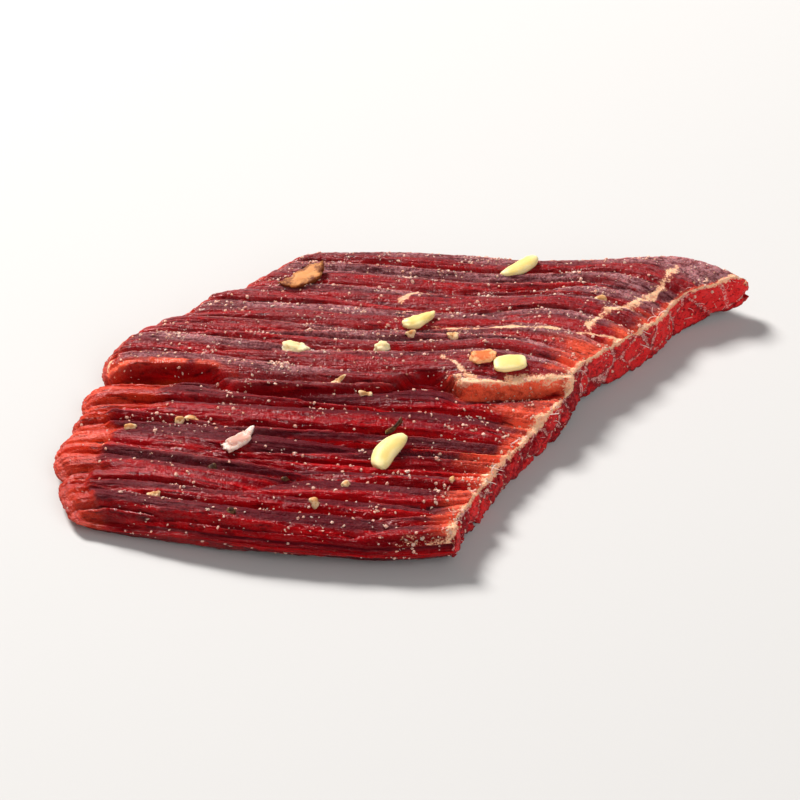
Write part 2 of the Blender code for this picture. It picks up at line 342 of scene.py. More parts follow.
def surface_marks(counts, place):
    """What the meat looks like at one point of the slice's surface: amounts that its material reads."""
    i, j, k = counts
    grain, across, depth = crowded(i / GRAIN_CELLS), j / ACROSS_CELLS, k / DEPTH_CELLS
    on_top, below = k == DEPTH_CELLS, k == 0
    on_cut = i == GRAIN_CELLS and not on_top and not below
    on_side = not (on_top or below or on_cut)
    blotch = noise.noise(place * BLOTCHES)
    streak = noise.noise(place * STREAKS)
    from_cut = (1 - grain) * BLOCK_LENGTH
    from_torn = grain * BLOCK_LENGTH
    past = past_seam(grain, across)
    ledge = curve_through(LEDGE, grain)
    _, _, bare_reach = torn_lobe(across)
    point, own, beside = fibre_at(grain, across, depth, BUNDLE, BUNDLE_START)
    wall, _ = fibre_wall(point, own, beside)
    bundle = 0.5 + 0.5 * math.sin(437.0 * own.y + 91.0 * own.z + 17.0 * own.x)

    bare = bare_flesh(grain, bare_reach, 0.0007 * blotch + 0.0005 * streak)
    skin = 1 - bare
    if on_cut:
        skin = 0.0
    if on_side:
        skin *= smooth_step(0.6, 1.0, depth)
    if on_top:
        skin *= smooth_step(0.0, FRONT_EDGE_BARE, across * BLOCK_WIDTH + 0.0003 * blotch)
        skin *= 1 - band(past + 0.0001, CLEFT_BARE)

    # The faces that the raised layer's lip uncovers, with a painted glow: bright orange below the ledge,
    # though that face lies in shade, and a painted highlight along the lip's top edge at the torn end.
    step_face = (ledge ** 2 if grain > 0.6 else 0.0) * band(past - 0.0001, STEP_FACE_WIDTH)
    torn_lip_highlight = smooth_step(0.34, 0.14, grain) * band(past - 0.00055, TORN_LIP_WIDTH)
    step_face = max(step_face, torn_lip_highlight * min(1.0, 0.7 + 1.2 * blotch))
    if not on_top:
        step_face = 0.0
    bare = max(bare, min(1.0, 1.4 * step_face * (0.8 + 0.8 * blotch)))
    skin = min(skin, 1 - bare)

    # The pale rims and sinews, as a share of the way out from their middle, and the painted glow where light
    # shines through the thin meat at the cut and at the torn end.
    pale = 9.0
    out_of_glow = 0.25 + from_torn / (bare_reach + (0.0010 if across < 0.48 else 0.0009))
    patch = max(band((place.xy - Vector(spot)).length, RIM_PATCH_REACH) for spot in RIM_PATCHES)
    if on_top:
        # The pale rim along the cut: partly pale fat, partly a painted highlight on its thin upper edge.
        rim_width = max(0.00012 + 0.00125 * patch + 0.00060 * blotch, 0.00005)
        pale = min(pale, 0.3 + from_cut / rim_width)
        lip = abs(past - 0.00046) / (LIP_WIDTH + 0.00030 * blotch)
        pale = min(pale, 0.2 + lip + 4 * (1 - min(1.0, 1.2 * ledge)))
        for line, width in SINEW_LINES:
            broken = 0.25 + 0.9 * noise.noise(place * BREAKS_IN_SINEW)
            pale = min(pale, broken + distance_to_line(place, line) / (width * (1.0 + 0.9 * blotch)))
        frayed = distance_to_line(place, FRAYED_CORNER) / (FRAYED_WIDTH + 0.0006 * blotch)
        pale = min(pale, 0.55 + 0.9 * frayed + 0.5 * smooth_step(0.0060, 0.0035, place.x))
        # Painted highlight: a broken peach line along the torn edge of the raised back layer.
        if across > 0.48:
            pale = min(pale, 1.15 + 1.6 * blotch + from_torn / TORN_RIM)
        along_back = (1 - across) * BLOCK_WIDTH / BACK_RIM
        pale = min(pale, 0.8 + 1.2 * blotch + along_back + 4 * smooth_step(0.98, 0.80, grain))
        # Painted glow of light through the thin meat near the cut.
        glow_depth = 0.0008 + 0.0024 * bundle + 0.0010 * blotch + 0.0008 * streak
        glow_depth *= smooth_step(0.92, 0.78, across)
        out_of_glow = min(out_of_glow, from_cut / max(glow_depth, 0.0003))
        for spot, reach in GLOW_SPOTS:
            off = place.xy - Vector(spot)
            out_of_glow = min(out_of_glow, math.hypot(0.6 * off.x, 1.3 * off.y) / reach + 0.5 * streak + 0.3 * blotch)
    if on_cut:
        over, under = CUT_RIMS
        pale = min(pale, (1 - depth) * SLICE_THICKNESS / over, depth * SLICE_THICKNESS / under)

    # Dust with a painted greyish-pink sheen lies on the backs of the bundles, the sides that face the key
    # light, and thickly on the raised layer. Red shows on their fronts.
    on_back = smooth_step(-0.22, 0.12, point.y - own.y + 0.5 * (bundle - 0.5) + 0.25 * streak)
    dark_ridge = band(across - 0.435, 0.025) * smooth_step(0.75, 0.55, grain)
    on_back = max(on_back, 0.95 * dark_ridge)
    raised = smooth_step(-0.0010, 0.0010, past)
    # Dust with a painted sheen: more on the raised layer, near the torn end and near the cut.
    front_dust_and_sheen = 0.17 * band(grain - 0.28, 0.16) + 0.12 * smooth_step(0.6, 0.9, grain)
    dust_and_sheen_amount = (0.02 + front_dust_and_sheen + (0.60 + 0.08 * grain) * raised) * (0.2 + 0.8 * on_back)
    dust_and_sheen_amount *= 1 + 0.7 * noise.noise(place * SHEEN_AND_DUST_PATCHES)

    # How orange the bare meat is, a painted glow of light through the thin torn lobes: most at the front
    # lobe, and along the edges of the middle one.
    orange = 0.35 + 0.60 * band(across - 0.24, 0.08)
    if 0.36 < across < 0.48:
        orange = 0.60 + 0.4 * band(from_torn, 0.0008)
    if across > 0.48:
        orange = 0.5 + 0.5 * streak

    # Where crumbs of fat, loose fibres and salt have stuck, clear of the floor.
    crumbs = 0.002
    if on_top:
        corner = band(distance_to_line(place, FRAYED_CORNER), 0.0008)
        corner *= 0.2 + 0.8 * smooth_step(0.0040, 0.0068, place.x)
        along_lip = ledge * band(past - 0.0006, 0.0004)
        along_rim = (0.15 + 0.85 * patch) * band(from_cut, 0.0003 + 0.0004 * patch)
        crumbs = max(crumbs, 0.7 * along_rim, 0.35 * corner, 0.04 * along_lip)
    if on_cut:
        crumbs = 0.006 + 0.15 * depth ** 8
    clear_of_floor = smooth_step(*SALT_CLEAR_OF_FLOOR, place.z)
    crumbs *= clear_of_floor * (1 - 0.8 * step_face)
    loose = 0.01
    if on_cut or (on_top and from_cut < CUT_CRUMBLE):
        loose = 0.15 + 0.85 * depth ** 6
    loose *= smooth_step(*FIBRES_CLEAR_OF_FLOOR, place.z)
    wide_patch = max(noise.noise(place * STREWN_PATCHES[0]) - 0.08, 0.0)
    small_patch = max(noise.noise(place * STREWN_PATCHES[1]) - 0.15, 0.0)
    strewn = (0.04 + 4.5 * wide_patch + 3.0 * small_patch) * clear_of_floor * (1 - 0.85 * step_face)
    near_cut = (1 - raised) * band(from_cut, SALTED_BY_CUT)
    salt = (0.10 + dust_and_sheen_amount + 0.25 * near_cut) * strewn * (1 - 0.6 * bare)
    flakes = (0.28 + 0.8 * dust_and_sheen_amount + 0.7 * near_cut) * strewn * (1 - 0.9 * bare)
    return {
        "crown": crown(grain, across, depth, BUNDLE, BUNDLE_START),
        "wall": wall * BUNDLE[1] * 1000,
        # The bundle's own tone, plus painted light that brightens the top of the cut face.
        "tone_and_painted_light": bundle + 0.8 * smooth_step(0.5, 0.7, across),
        "fine": crown(grain, across, depth, FIBRE, FIBRE_START),
        "on_back": on_back,
        "dust_and_sheen_amount": dust_and_sheen_amount if on_top or below else 0.4 * dust_and_sheen_amount,
        "bare": bare,
        "step_face": step_face,
        "orange": orange,
        "skin": skin,
        "pale": pale,
        "out_of_glow": out_of_glow,
        "cut_face": 1.0 if on_cut else 0.0,
        "rim": band(from_cut, CUT_CRUMBLE) if on_top or on_cut else 0.0,
        "salt": salt * (0.3 if below or on_cut else 1.0),
        "flakes": flakes * (0.2 if below or on_cut else 1.0),
        "crumbs": crumbs * (0.5 + 1.5 * max(noise.noise(place * CRUMB_PATCHES), 0.0)),
        "loose": loose,
    }


def new_piece(name, points, faces):
    """A mesh object at the origin, with smooth faces."""
    mesh = bpy.data.meshes.new(name)
    mesh.from_pydata(points, [], faces)
    mesh.update()
    mesh.shade_smooth()
    piece = bpy.data.objects.new(name, mesh)
    bpy.context.scene.collection.objects.link(piece)
    return piece


def make_slice():
    """The slice's mesh, with fine fibres raised on it and the marks that its material reads."""
    counts, faces = block_faces(GRAIN_CELLS, ACROSS_CELLS, DEPTH_CELLS)
    places = [slice_place(crowded(i / GRAIN_CELLS), j / ACROSS_CELLS, k / DEPTH_CELLS) for i, j, k in counts]
    meat = new_piece("dried_beef_slice", places, faces)
    marks = [surface_marks(count, place) for count, place in zip(counts, places)]
    normals = [vertex.normal.copy() for vertex in meat.data.vertices]
    for vertex, normal, mark in zip(meat.data.vertices, normals, marks):
        crinkle = noise.noise(vertex.co / CRINKLE_SIZE) + 0.5 * noise.noise(vertex.co / CRINKLE_SIZE * 2.3)
        raised = FIBRE_RELIEF * (mark["fine"] - 0.7) + (CRINKLE + RIM_CRUMBLE * mark["rim"]) * crinkle
        raised += CUT_LUMPS * mark["cut_face"] * noise.noise(vertex.co / CUT_LUMP_SIZE)
        vertex.co += normal * raised
        vertex.co.z = max(vertex.co.z, 0.0)
    for name in marks[0]:
        layer = meat.data.attributes.new(name, "FLOAT", "POINT")
        layer.data.foreach_set("value", [mark[name] for mark in marks])
    block_mm = (1000 * BLOCK_LENGTH, 1000 * BLOCK_WIDTH, 1000 * SLICE_THICKNESS)
    layer = meat.data.attributes.new("grain_place", "FLOAT_VECTOR", "POINT")
    shares = [(crowded(i / GRAIN_CELLS), j / ACROSS_CELLS, k / DEPTH_CELLS) for i, j, k in counts]
    layer.data.foreach_set("vector", [s * size for place in shares for s, size in zip(place, block_mm)])
    return meat


def centre_shift(piece):
    """How far the slice moves to stand on the origin, at the middle of its own box."""
    xs = [vertex.co.x for vertex in piece.data.vertices]
    ys = [vertex.co.y for vertex in piece.data.vertices]
    low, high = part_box("jerky_strip")
    middle = (low + high) / 2
    return Vector((middle.x - (min(xs) + max(xs)) / 2, middle.y - (min(ys) + max(ys)) / 2, 0))


def srgb(code):
    """A colour's hex code as linear red, green, blue and alpha."""
    parts = [int(code[i:i + 2], 16) / 255 for i in (0, 2, 4)]
    return [p / 12.92 if p <= 0.04045 else ((p + 0.055) / 1.055) ** 2.4 for p in parts] + [1.0]


def add(tree, kind, settings=None, inputs=None, links=None):
    """Adds a node with its settings and input values, and links its inputs."""
    made = tree.nodes.new(kind)
    for name, value in (settings or {}).items():
        setattr(made, name, value)
    for socket, value in (inputs or {}).items():
        made.inputs[socket].default_value = value
    for socket, source in (links or {}).items():
        tree.links.new(source, made.inputs[socket])
    return made


# The patterns in the meat, as lengths in millimetres: along, across and up for the streaks and threads.
# Real dust is finer than 0.1 mm. It is drawn as coarse as it needs to be to show.
STREAK_MM = (7.7, 0.556, 0.556)
THREAD_MM = (2.0, 0.2, 0.2)
DUST_MM = 0.2
MOTTLE_MM = 0.476
SPECK_MM = 0.588


def air_dried_beef():
    """Air-dried beef: a dark maroon skin, dusty and with a painted greyish-pink sheen on the crowns, and
    glossy deep red meat between.
    """
    material = bpy.data.materials.new("air_dried_beef")
    material.use_nodes = True
    tree = material.node_tree
    shader = tree.nodes["Principled BSDF"]
    mark = {}
    for name in ("crown", "wall", "fine", "on_back", "dust_and_sheen_amount", "bare", "step_face", "orange", "skin", "pale",
                 "out_of_glow", "cut_face", "tone_and_painted_light"):
        mark[name] = add(tree, "ShaderNodeAttribute", {"attribute_name": name}).outputs["Fac"]
    in_grain = add(tree, "ShaderNodeAttribute", {"attribute_name": "grain_place"}).outputs["Vector"]
    place = add(tree, "ShaderNodeTexCoord").outputs["Object"]
    in_mm = add(tree, "ShaderNodeMapping", {}, {"Scale": (1000, 1000, 1000)}, {"Vector": place}).outputs[0]

    # Long streaks and thin threads run with the grain. Dust, mottle and specks have no direction.
    along = add(tree, "ShaderNodeMapping", {}, {"Scale": [1 / mm for mm in STREAK_MM]},
                {"Vector": in_grain}).outputs[0]
    streaks = add(tree, "ShaderNodeTexNoise", {}, {"Scale": 1.0, "Detail": 4.0, "Roughness": 0.6},
                  {"Vector": along}).outputs["Fac"]
    thin = add(tree, "ShaderNodeMapping", {}, {"Scale": [1 / mm for mm in THREAD_MM]},
               {"Vector": in_grain}).outputs[0]
    threads = add(tree, "ShaderNodeTexNoise", {}, {"Scale": 1.0, "Detail": 3.0, "Roughness": 0.6},
                  {"Vector": thin}).outputs["Fac"]
    dust = add(tree, "ShaderNodeTexNoise", {}, {"Scale": 1 / DUST_MM, "Detail": 2.0, "Roughness": 0.7},
               {"Vector": in_mm}).outputs["Fac"]
    mottle = add(tree, "ShaderNodeTexNoise", {}, {"Scale": 1 / MOTTLE_MM, "Detail": 2.0, "Roughness": 0.6},
                 {"Vector": in_mm}).outputs["Fac"]
    grains = add(tree, "ShaderNodeTexVoronoi", {"feature": "F1"}, {"Scale": 1 / SPECK_MM}, {"Vector": in_mm})

    def shows(parts, low, high, start=0.0, end=1.0, within=()):
        """How strongly a colour shows, from a weighted sum of patterns, and only within some marks."""
        total = None
        for pattern, weight in parts:
            links = {0: pattern} if total is None else {0: pattern, 2: total}
            total = add(tree, "ShaderNodeMath", {"operation": "MULTIPLY_ADD"}, {1: weight, 2: 0.0},
                        links).outputs[0]
        strength = add(tree, "ShaderNodeMapRange", {"interpolation_type": "SMOOTHSTEP"},
                       {"From Min": low, "From Max": high, "To Min": start, "To Max": end},
                       {"Value": total}).outputs["Result"]
        for limit in within:
            strength = add(tree, "ShaderNodeMath", {"operation": "MULTIPLY"}, {},
                           {0: strength, 1: limit}).outputs[0]
        return strength

    skin, cut_face, step_face = mark["skin"], mark["cut_face"], mark["step_face"]
    maroon = shows(((mark["on_back"], 1), (mark["crown"], 0.5), (streaks, 1.6), (mottle, 0.9),
                    (mark["dust_and_sheen_amount"], 0.9)), 1.60, 2.45, within=[skin])
    # Painted sheen: greyish-pink on the dusty skin, strongest on the bundles' backs, mixed with real dust.
    bloom_and_sheen = shows(((mottle, 1), (dust, 1.3), (threads, 0.3), (mark["fine"], 0.1)), 1.15, 1.60, 0.22, 1.0,
                  within=[skin, mark["dust_and_sheen_amount"]])
    # Painted highlight: a thin pink line along the crest of each bundle.
    crest_highlight = shows([(mark["on_back"], 1)], 0.1, 0.5, within=[skin])
    crest_highlight = shows([(mark["on_back"], 1)], 0.5, 0.95, 1.0, 0.0, within=[crest_highlight])
    crest_highlight = shows(((streaks, 1), (mottle, 0.8)), 0.88, 1.18, 0.0, 0.4, within=[crest_highlight])
    # Painted glow: orange-red where light shines through the thin meat at the cut and at the torn end.
    painted_glow = shows(((mark["out_of_glow"], 1), (streaks, 0.8), (dust, 0.3), (mottle, 0.5)), 1.0, 2.0, 1.0, 0.0)
    painted_glow = shows([(skin, 1)], 0.0, 1.0, 0.3, 1.0, within=[painted_glow])
    painted_glow = shows(((streaks, 1), (dust, 0.7)), 0.6, 1.0, 0.2, 1.0, within=[painted_glow])
    # Pale sinew, fat and frayed meat, with painted highlights along the cut's rim and the torn edge.
    pale_fat_and_highlight = shows(((mark["pale"], 1), (dust, 2.2), (mottle, 1.8)), 2.55, 3.35, 1.0, 0.0)
    cell_line = shows(((mark["wall"], 1), (dust, 0.34)), 0.17, 0.27, 0.75, 0.0, within=[cut_face])
    speck = shows(((grains.outputs["Distance"], 1), (dust, 0.6)), 0.36, 0.50, 1.0, 0.0)
    speck = shows([(grains.outputs["Color"], 1)], 0.42, 0.52, within=[speck])
    speck = shows([(mark["dust_and_sheen_amount"], 1)], 0.15, 0.7, 0.05, 0.9, within=[speck])
    speck = shows([(cut_face, 1)], 0.0, 1.0, 1.0, 0.3, within=[speck])
    # Painted shade: dark lines between the fibres, where the grooves fall in shade.
    thread_shade = shows([(threads, 1)], 0.30, 0.47, 0.75, 0.0)
    thread_shade = shows([(mark["pale"], 1)], 0.8, 1.6, within=[thread_shade])
    thread_shade = shows([(step_face, 1)], 0.2, 0.8, 1.0, 0.2, within=[thread_shade])
    # Painted light: brighter crimson on the crowns of the lumps and towards the top of the cut face, with
    # the meat's own mottle and tone.
    cut_face_highlight = shows(((mark["crown"], 1), (mottle, 2.4), (mark["tone_and_painted_light"], 0.7)), 1.9, 2.9, within=[cut_face])
    # Painted glow: the ledge face is bright orange though it lies in shade.
    step_face_glow = shows(((mottle, 1), (streaks, 0.8), (dust, 0.4)), 0.85, 1.20, 0.45, 1.0, within=[step_face])
    # Painted highlights: small pink flecks on the cut face.
    cut_highlight_fleck = shows(((dust, 1), (mottle, 0.5)), 0.95, 1.12, 0.0, 0.4, within=[cut_face])

    flesh = add(tree, "ShaderNodeMix", {"data_type": "RGBA"}, {6: srgb("720008"), 7: srgb("B8060C")},
                {0: shows([(streaks, 1)], 0.35, 0.68)}).outputs[2]
    # Bare meat, dark red, turning to a painted orange glow where light shines through the torn lobes.
    bare_meat_and_glow = add(tree, "ShaderNodeMix", {"data_type": "RGBA"}, {6: srgb("8C0206"), 7: srgb("D8401A")},
                    {0: shows([(streaks, 1)], 0.35, 0.65, 0.15, 1.0, within=[mark["orange"]])}).outputs[2]
    colour = add(tree, "ShaderNodeMix", {"data_type": "RGBA"}, {},
                 {0: mark["bare"], 6: flesh, 7: bare_meat_and_glow}).outputs[2]
    # Painted light among these layers: the greyish-pink sheen, crest highlight, cut-face highlight, glows,
    # cut flecks and pale rim highlights. The dark thread lines are painted shade.
    layers = (("560A16", maroon), ("B27A7C", bloom_and_sheen), ("B0383C", crest_highlight), ("8A0614", cut_face),
              ("E42A2C", cut_face_highlight), ("FF6846", step_face_glow), ("F25E42", painted_glow), ("2C0208", thread_shade),
              ("F08C80", cut_highlight_fleck), ("F4BAB0", cell_line), ("E4B494", speck), ("F8C09A", pale_fat_and_highlight))
    for code, strength in layers:
        colour = add(tree, "ShaderNodeMix", {"data_type": "RGBA"}, {7: srgb(code)},
                     {0: strength, 6: colour}).outputs[2]
    tree.links.new(colour, shader.inputs["Base Color"])

    # Dusty skin is dull, and bare meat glossy.
    dusty = ((bloom_and_sheen, 1), (maroon, 0.35))
    tree.links.new(shows(dusty, 0.0, 0.6, 0.20, 0.60), shader.inputs["Roughness"])
    tree.links.new(shows(dusty, 0.0, 0.4, 0.20, 0.05), shader.inputs["Specular IOR Level"])
    shader.inputs["Subsurface Weight"].default_value = 0.30
    shader.inputs["Subsurface Radius"].default_value = (1.0, 0.15, 0.08)
    shader.inputs["Subsurface Scale"].default_value = 0.0012
    relief = shows([(skin, 1)], 0.0, 1.0, 0.5, 1.0, within=[threads])
    for pattern, weight in ((dust, 0.5), (mottle, 0.6)):
        relief = add(tree, "ShaderNodeMath", {"operation": "MULTIPLY_ADD"}, {1: weight},
                     {0: pattern, 2: relief}).outputs[0]
    bump = add(tree, "ShaderNodeBump", {}, {"Strength": 1.0, "Distance": 0.00020}, {"Height": relief})
    tree.links.new(bump.outputs["Normal"], shader.inputs["Normal"])
    return material


beef = air_dried_beef()
slice_piece = make_slice()
shift = centre_shift(slice_piece)
slice_piece.data.transform(Matrix.Translation(shift))
slice_piece.data.materials.append(beef)
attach(slice_piece, "root")
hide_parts("jerky_strip")

# The seeds and flakes
# Pale dried seeds, crumbs of seed, a boat-shaped chip of husk, a flake of pepper and one of fat. They were
# strewn on the wet meat, and its juices glued them on as it dried.

# Each body has a place seen from above, a heading and a tip in degrees, its length, width and thickness, and
# how much it tapers, squares off, crinkles, curls up, bends sideways and flattens on top.
SEEDS = (
    ((0.0, -0.0082), 62, 14, (0.0041, 0.0021, 0.0013), (0.10, 0.62, 0.05, 0.03, -0.10, 0.3)),
    ((0.0083, 0.0190), 41, 8, (0.0038, 0.0016, 0.0011), (-0.15, 0.75, 0.06, 0.03, 0.05, 0.3)),
    ((0.0091, 0.0032), 10, 5, (0.0028, 0.0022, 0.0010), (0.05, 0.50, 0.07, 0.0, 0.0, 0.4)),
    ((0.0005, 0.0092), 32, 6, (0.0030, 0.0015, 0.0010), (0.20, 0.80, 0.22, 0.08, 0.06, 0.3)),
)
SEED_CRUMBS = (
    ((-0.0098, 0.0044), -4, 4, (0.0023, 0.0016, 0.0009), (0.10, 0.60, 0.55, 0.0, 0.0, 0.0)),
    ((-0.0022, 0.0050), 30, 0, (0.0013, 0.0011, 0.0009), (0.0, 0.60, 0.45, 0.0, 0.0, 0.0)),
)
HUSK_CHIP = (((-0.0104, 0.0150), 35, 10, (0.0042, 0.0022, 0.0011), (-0.15, 1.05, 0.30, 0.16, 0.10, 0.55)),)
ORANGE_FLAKE = (((0.0067, 0.0037), 25, 0, (0.0024, 0.0018, 0.0008), (0.1, 0.60, 0.34, 0.0, 0.08, 0.2)),)
PALE_FLAKE = (((-0.0126, -0.0083), 50, 4, (0.0032, 0.0016, 0.0008), (0.20, 0.60, 0.42, 0.0, 0.05, 0.2)),)
SUNK = 0.00035
SIDES = 30
RINGS = 20


def seed_body(size, form, start):
    """Points, edge marks and faces of a small rounded body along X."""
    length, width, thickness = size
    taper, squareness, crinkle, curl, bend, flat_top = form
    points, marks = [Vector((-length / 2, 0, 0))], [1.0]
    for ring in range(1, RINGS):
        turn = math.pi * ring / RINGS
        along = -math.cos(turn)
        girth = math.sin(turn) ** squareness * (1 - taper * along) / (1 + 0.5 * abs(taper))
        for side in range(SIDES):
            angle = 2 * math.pi * side / SIDES
            beside, over = math.cos(angle), math.sin(angle)
            height = over * (1 - flat_top) if over > 0 else over * (1 + 0.6 * flat_top)
            point = Vector((along * length / 2, girth * width / 2 * beside,
                            girth ** 0.6 * thickness / 2 * (height + 0.5 * flat_top)))
            swell = noise.noise(point * 1300 + start) + 0.5 * noise.noise(point * 3100 + start)
            point *= 1 + crinkle * swell
            point.y += bend * (2 * point.x / length) ** 2 * length
            point.z += curl * ((point.x / length) ** 2 + 0.6 * (point.y / width) ** 2) * length
            points.append(point)
            # The underside counts as edge, so it takes the edge colour; on the husk that darker colour is
            # painted shade.
            marks.append(max(abs(along), girth * abs(beside)) if over > 0 else 1.0)
    points.append(Vector((length / 2, 0, 0)))
    marks.append(1.0)
    for tip in (points[0], points[-1]):
        tip.y += bend * length
        tip.z += curl * length / 4
    last = len(points) - 1
    faces = []
    for side in range(SIDES):
        beside = (side + 1) % SIDES
        faces.append((0, 1 + beside, 1 + side))
        for ring in range(RINGS - 2):
            near, far = 1 + ring * SIDES, 1 + (ring + 1) * SIDES
            faces.append((near + side, near + beside, far + beside, far + side))
        faces.append((last - SIDES + side, last - SIDES + beside, last))
    return points, marks, faces


def lay_on_slice(points, place, heading, tip, thickness):
    """Moves a small piece's points onto the slice's top face, turned to its heading and tipped."""
    over = Vector((place[0], place[1], 0)) + shift
    _, ground, _, _ = slice_piece.ray_cast(Vector((over.x, over.y, 1.0)), Vector((0, 0, -1)))
    turn = Euler((0, -math.radians(tip), math.radians(heading))).to_matrix().to_4x4()
    seat = Matrix.Translation((ground.x, ground.y, ground.z + thickness / 2 - SUNK)) @ turn
    return [seat @ point for point in points]


def make_small_piece(name, bodies):
    """One mesh of all the bodies of a kind, each laid on the slice."""
    points, marks, faces = [], [], []
    for number, (place, heading, tip, size, form) in enumerate(bodies):
        body, edges, skin = seed_body(size, form, Vector((7.1 * number, 3.3, 1.7)))
        faces += [[corner + len(points) for corner in face] for face in skin]
        points += lay_on_slice(body, place, heading, tip, size[2])
        marks += edges
    piece = new_piece(name, points, faces)
    piece.data.attributes.new("edge", "FLOAT", "POINT").data.foreach_set("value", marks)
    return piece


def dried_on(name, middle, edge, mottle_mm, mottled, roughness):
    """Dried seed coat, husk, leaf or fat: dull, mottled as it shrank, and another shade at its edge and
    underside, which on the husk is darker painted shade.
    """
    material = bpy.data.materials.new(name)
    material.use_nodes = True
    tree = material.node_tree
    shader = tree.nodes["Principled BSDF"]
    place = add(tree, "ShaderNodeTexCoord").outputs["Object"]
    mottle = add(tree, "ShaderNodeTexNoise", {},
                 {"Scale": 1000 / mottle_mm, "Detail": 4.0, "Roughness": 0.65},
                 {"Vector": place}).outputs["Fac"]
    rim = add(tree, "ShaderNodeAttribute", {"attribute_name": "edge"}).outputs["Fac"]
    outward = add(tree, "ShaderNodeMath", {"operation": "MULTIPLY_ADD"}, {1: mottled}, {0: mottle, 2: rim})
    share = add(tree, "ShaderNodeMapRange", {"interpolation_type": "SMOOTHSTEP"},
                {"From Min": 0.45 + 0.5 * mottled, "From Max": 0.95 + 0.5 * mottled},
                {"Value": outward.outputs[0]})
    colour = add(tree, "ShaderNodeMix", {"data_type": "RGBA"}, {6: srgb(middle), 7: srgb(edge)},
                 {0: share.outputs["Result"]})
    tree.links.new(colour.outputs[2], shader.inputs["Base Color"])
    shader.inputs["Roughness"].default_value = roughness
    shader.inputs["Specular IOR Level"].default_value = 0.2
    shader.inputs["Subsurface Weight"].default_value = 0.35
    shader.inputs["Subsurface Radius"].default_value = (1.0, 0.75, 0.4)
    shader.inputs["Subsurface Scale"].default_value = 0.0010
    bump = add(tree, "ShaderNodeBump", {}, {"Strength": 0.6, "Distance": 0.00006}, {"Height": mottle})
    tree.links.new(bump.outputs["Normal"], shader.inputs["Normal"])
    return material


bpy.context.view_layer.update()
small_pieces = (
    ("seeds", SEEDS, dried_on("dried_seed_coat", "E4CA7A", "F5E0A4", 0.9, 0.7, 0.42)),
    ("seed_crumbs", SEED_CRUMBS, dried_on("seed_kernel", "E8CE9A", "F6E2B4", 0.4, 1.2, 0.6)),
    # The husk's dark edge colour is painted shade on its rim and underside.
    ("husk_chip", HUSK_CHIP, dried_on("dried_husk", "D08C54", "6E3418", 0.6, 1.6, 0.7)),
    ("orange_flake", ORANGE_FLAKE, dried_on("dried_pepper_skin", "E0703A", "F8B27C", 0.3, 2.0, 0.6)),
    ("pale_flake", PALE_FLAKE, dried_on("dried_fat", "D49C8C", "F2D4C6", 0.3, 2.2, 0.6)),
)
for name, bodies, material in small_pieces:
    piece = make_small_piece(name, bodies)
    piece.data.materials.append(material)
    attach(piece, "root")
    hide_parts("jerky_strip")

# The spice crumbs
# Coarsely ground spice from the rub: tan bits of seed and husk, and a few dark bits of leaf and stalk. They
# are glued on like the seeds.

BIT = (0.1, 0.5, 0.9, 0.0, 0.0, 0.1)
STALK = (0.0, 0.3, 0.2, 0.0, 0.1, 0.0)
TAN_BITS = (
    ((-0.0170, -0.0053), 20, 0, (0.0011, 0.0008, 0.0008), BIT),
    ((-0.0181, -0.0057), 70, 0, (0.0007, 0.0006, 0.0007), BIT),
    ((-0.0221, -0.0072), 10, 0, (0.0008, 0.0005, 0.0007), BIT),
    ((-0.0054, 0.0003), 40, 0, (0.0012, 0.0007, 0.0008), BIT),
    ((-0.0028, -0.0008), 5, 0, (0.0009, 0.0007, 0.0007), BIT),
    ((-0.0049, -0.0162), 15, 0, (0.0008, 0.0006, 0.0007), BIT),
    ((-0.0029, -0.0132), 60, 0, (0.0007, 0.0006, 0.0007), BIT),
    ((-0.0184, -0.0159), 35, 0, (0.0012, 0.0006, 0.0008), BIT),
    ((0.0058, -0.0111), 80, 0, (0.0008, 0.0006, 0.0007), BIT),
    ((0.0000, 0.0070), 25, 0, (0.0007, 0.0006, 0.0007), BIT),
    ((0.0037, 0.0075), 50, 0, (0.0012, 0.0009, 0.0008), BIT),
    ((0.0158, 0.0153), 30, 0, (0.0009, 0.0006, 0.0007), BIT),
)
DARK_BITS = (
    ((-0.0079, -0.0124), 30, 0, (0.0006, 0.0004, 0.0006), BIT),
    ((-0.0116, -0.0182), 10, 0, (0.0006, 0.0004, 0.0006), BIT),
    ((-0.0143, -0.0119), 65, 0, (0.0009, 0.0006, 0.0006), BIT),
    ((0.0003, -0.0048), 58, 8, (0.0018, 0.0003, 0.0006), STALK),
)

for name, bodies, material in (
        ("tan_spice_bits", TAN_BITS, dried_on("ground_seed", "C8905C", "EBC49A", 0.3, 2.0, 0.6)),
        ("dark_spice_bits", DARK_BITS, dried_on("dried_leaf", "341C10", "6C4C34", 0.3, 2.0, 0.7))):
    piece = make_small_piece(name, bodies)
    piece.data.materials.append(material)
    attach(piece, "root")

# The salt
# Grains of salt and fine spice that were rubbed on and dried fast to the skin, and flakes of coarser salt.
# They lie in patches, thickest on the raised layer. Grains are 0.04 to 0.24 mm across, and flakes 0.08 to
# 0.38 mm.

SALT_PER_AREA = 3.4e6
SALT_SIZES = (0.00002, 0.00012)
FLAKES_PER_AREA = 1.5e6
FLAKE_SIZES = (0.00004, 0.00019)


